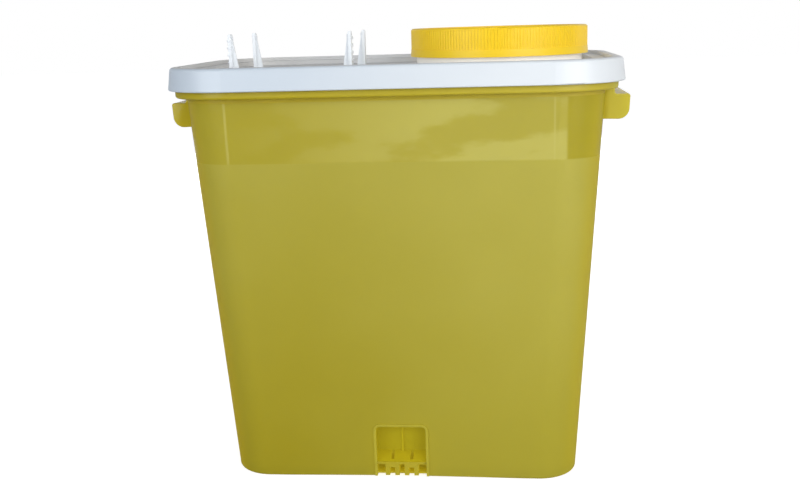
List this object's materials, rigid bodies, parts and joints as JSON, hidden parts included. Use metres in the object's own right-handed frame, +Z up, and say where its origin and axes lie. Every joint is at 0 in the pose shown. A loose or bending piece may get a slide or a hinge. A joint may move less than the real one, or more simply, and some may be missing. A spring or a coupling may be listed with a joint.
{
  "type": "sharps container",
  "caption": "Tapered see-through sharps bin with grip ears, a snap-fit lid with a threaded neck and cap-holding posts, and a ribbed screw cap with a sealing disc.",
  "frame": {"origin": "on the ground, under the middle of the bin", "axes": "+X along the long side towards the screw cap, +Y from the front, which has the bracket pocket, to the back, +Z up"},
  "size_m": [0.2802, 0.1748, 0.276],
  "materials": {
    "bin_plastic": "see-through olive yellow moulded plastic, frosted below and polished in a band under the rim",
    "lid_plastic": "white moulded plastic, satin gloss",
    "cap_plastic": "opaque warm yellow moulded plastic",
    "liner_rubber": "soft pale seal"
  },
  "bodies": {
    "bin": {"bin": "bin_plastic"},
    "lid": {"lid": "lid_plastic", "cap_post_front_left": "lid_plastic", "cap_post_front_right": "lid_plastic", "cap_post_rear_left": "lid_plastic", "cap_post_rear_right": "lid_plastic"},
    "liner": {"cap_liner": "liner_rubber"},
    "cap": {"screw_cap": "cap_plastic"}
  },
  "joints": [
    {"name": "lid_lift", "type": "slide", "parent": "bin", "child": "lid", "axis": [0, 0, 1], "range_m": [0, 0.05]},
    {"name": "cap_lift", "type": "slide", "parent": "lid", "child": "liner", "axis": [0, 0, 1], "range_m": [0, 0.0128]},
    {"name": "cap_turn", "type": "hinge", "parent": "liner", "child": "cap", "pos_m": [0.0623, 0, 0.2675], "axis": [0, 0, 1], "range_deg": [0, 1080]}
  ],
  "couplings": [
    {"joint": "cap_lift", "follows": "cap_turn", "m_per_rad": 0.00067641}
  ]
}
